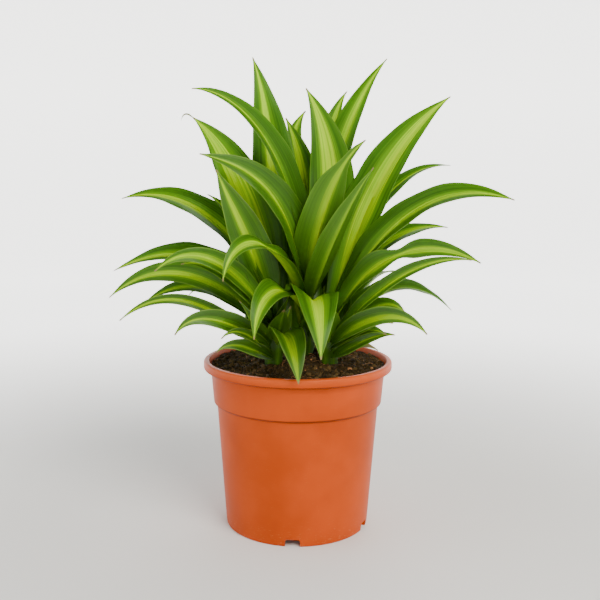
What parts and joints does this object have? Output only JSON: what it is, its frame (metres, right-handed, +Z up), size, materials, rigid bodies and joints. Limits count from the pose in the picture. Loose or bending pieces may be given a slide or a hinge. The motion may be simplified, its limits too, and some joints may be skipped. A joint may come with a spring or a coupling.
{
  "type": "potted dracaena",
  "caption": "Strap-leaved dracaena with lime-striped leaves, leafy stems standing in dark soil in a round terracotta-coloured plastic nursery pot.",
  "frame": {"origin": "on the surface that the pot stands on, under the middle of its foot", "axes": "+Z up along the pot's axis, +X to the plant's right in the picture, -Y towards the viewer"},
  "size_m": [0.3808, 0.2711, 0.4694],
  "materials": {
    "pot": "satin",
    "soil": "rough, moist peat",
    "leaf": "waxy sheen"
  },
  "bodies": {
    "root": {"pot": "pot", "soil": "soil", "leafy_stem_left": "leaf", "leafy_stem_right": "leaf", "leafy_stem_centre": "leaf"}
  },
  "joints": []
}
